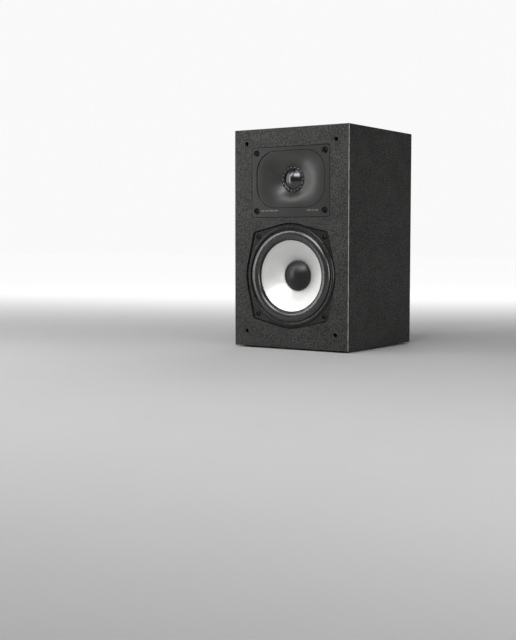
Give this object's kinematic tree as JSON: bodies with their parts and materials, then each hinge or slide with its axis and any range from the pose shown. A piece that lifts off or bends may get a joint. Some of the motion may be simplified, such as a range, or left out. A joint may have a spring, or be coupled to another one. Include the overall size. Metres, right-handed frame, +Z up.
{
  "type": "bookshelf speaker",
  "caption": "Small two-way bookshelf loudspeaker: vinyl-wrapped box, pale-coned woofer, horn-loaded dome tweeter, rear reflex port and screw-down terminals.",
  "frame": {"origin": "on the resting plane, under the middle of the cabinet's footprint", "axes": "+Z up, -Y towards the listener (drive units face -Y), +X to the right when seen from the front"},
  "size_m": [0.167, 0.1679, 0.275],
  "materials": {
    "cabinet_vinyl": "fine-grained black vinyl over board",
    "wadding": "polyester wadding",
    "black_rubber": "matt moulded rubber",
    "surround_rubber": "satin butyl rubber",
    "frame_plastic": "satin moulded plastic",
    "gasket_foam": "closed-cell foam",
    "cone": "pale satin polypropylene",
    "dust_cap": "soft matt",
    "copper": "enamelled wire",
    "spider_cloth": "varnished cotton",
    "zinc_steel": "zinc-plated steel",
    "ferrite": "sintered ferrite",
    "laminate": "paper laminate",
    "black_screw": "black-oxide steel",
    "horn_plastic": "satin moulded ABS",
    "dome_silk": "coated silk, glossy",
    "black_plastic": "moulded plastic, satin",
    "red_plastic": "moulded plastic, satin",
    "gold_plate": "gold-plated brass",
    "film": "film capacitor sleeve",
    "ceramic_block": "cement-filled block"
  },
  "bodies": {
    "root": {"front_baffle": "cabinet_vinyl", "top_panel": "cabinet_vinyl", "bottom_panel": "cabinet_vinyl", "left_panel": "cabinet_vinyl", "right_panel": "cabinet_vinyl", "rear_panel": "cabinet_vinyl", "damping_wadding": "wadding", "foot_front_left": "black_rubber", "foot_front_right": "black_rubber", "foot_rear_left": "black_rubber", "foot_rear_right": "black_rubber", "grille_socket_left_lower": "black_rubber", "grille_socket_right_lower": "black_rubber", "grille_socket_left_upper": "black_rubber", "grille_socket_right_upper": "black_rubber", "woofer_frame": "frame_plastic", "woofer_gasket": "gasket_foam", "woofer_surround": "surround_rubber", "woofer_spider": "spider_cloth", "woofer_top_plate": "zinc_steel", "woofer_magnet": "ferrite", "woofer_yoke": "zinc_steel", "woofer_terminal_strip": "laminate", "woofer_tinsel_lead_lower": "copper", "woofer_tinsel_lead_upper": "copper", "woofer_screw_left_lower": "black_screw", "woofer_screw_right_lower": "black_screw", "woofer_screw_left_upper": "black_screw", "woofer_screw_right_upper": "black_screw", "tweeter_horn_plate": "horn_plastic", "tweeter_gasket": "gasket_foam", "tweeter_dome_surround": "dome_silk", "tweeter_notched_ring": "frame_plastic", "tweeter_top_plate": "zinc_steel", "tweeter_magnet": "ferrite", "tweeter_yoke": "zinc_steel", "tweeter_screw_left_lower": "black_screw", "tweeter_screw_right_lower": "black_screw", "tweeter_screw_left_upper": "black_screw", "tweeter_screw_right_upper": "black_screw", "port_tube": "black_plastic", "terminal_cup": "black_plastic", "terminal_stud_red": "gold_plate", "terminal_stud_black": "gold_plate", "crossover_board": "laminate", "crossover_inductor": "copper", "crossover_capacitor": "film", "crossover_resistor": "ceramic_block", "woofer_wire": "black_plastic", "tweeter_wire": "red_plastic"},
    "woofer_diaphragm": {"woofer_cone": "cone", "woofer_dust_cap": "dust_cap", "woofer_coil_former": "copper", "woofer_coil_winding": "copper"},
    "tweeter_diaphragm": {"tweeter_dome": "dome_silk", "tweeter_voice_coil": "copper"},
    "red_insert": {"terminal_insert_red": "gold_plate"},
    "red_cap": {"terminal_cap_red": "red_plastic"},
    "black_insert": {"terminal_insert_black": "gold_plate"},
    "black_cap": {"terminal_cap_black": "black_plastic"}
  },
  "joints": [
    {"name": "woofer_excursion", "type": "slide", "parent": "root", "child": "woofer_diaphragm", "axis": [0, -1, 0], "range_m": [-0.004, 0.004], "stiffness_N_per_m": 1100, "deforming": ["woofer_surround", "woofer_spider", "woofer_tinsel_lead_lower", "woofer_tinsel_lead_upper"]},
    {"name": "tweeter_excursion", "type": "slide", "parent": "root", "child": "tweeter_diaphragm", "axis": [0, -1, 0], "range_m": [-0.0004, 0.0004], "stiffness_N_per_m": 2000, "deforming": ["tweeter_dome_surround"]},
    {"name": "red_post_travel", "type": "slide", "parent": "root", "child": "red_insert", "axis": [0, 1, 0], "range_m": [0, 0.0028]},
    {"name": "red_post_turn", "type": "hinge", "parent": "red_insert", "child": "red_cap", "pos_m": [0.014, 0.07, 0.097], "axis": [0, 1, 0], "range_deg": [0, 1440.01]},
    {"name": "black_post_travel", "type": "slide", "parent": "root", "child": "black_insert", "axis": [0, 1, 0], "range_m": [0, 0.0028]},
    {"name": "black_post_turn", "type": "hinge", "parent": "black_insert", "child": "black_cap", "pos_m": [-0.014, 0.07, 0.097], "axis": [0, 1, 0], "range_deg": [0, 1440.01]}
  ],
  "couplings": [
    {"joint": "red_post_turn", "follows": "red_post_travel", "rad_per_m": 8976},
    {"joint": "black_post_turn", "follows": "black_post_travel", "rad_per_m": 8976}
  ]
}
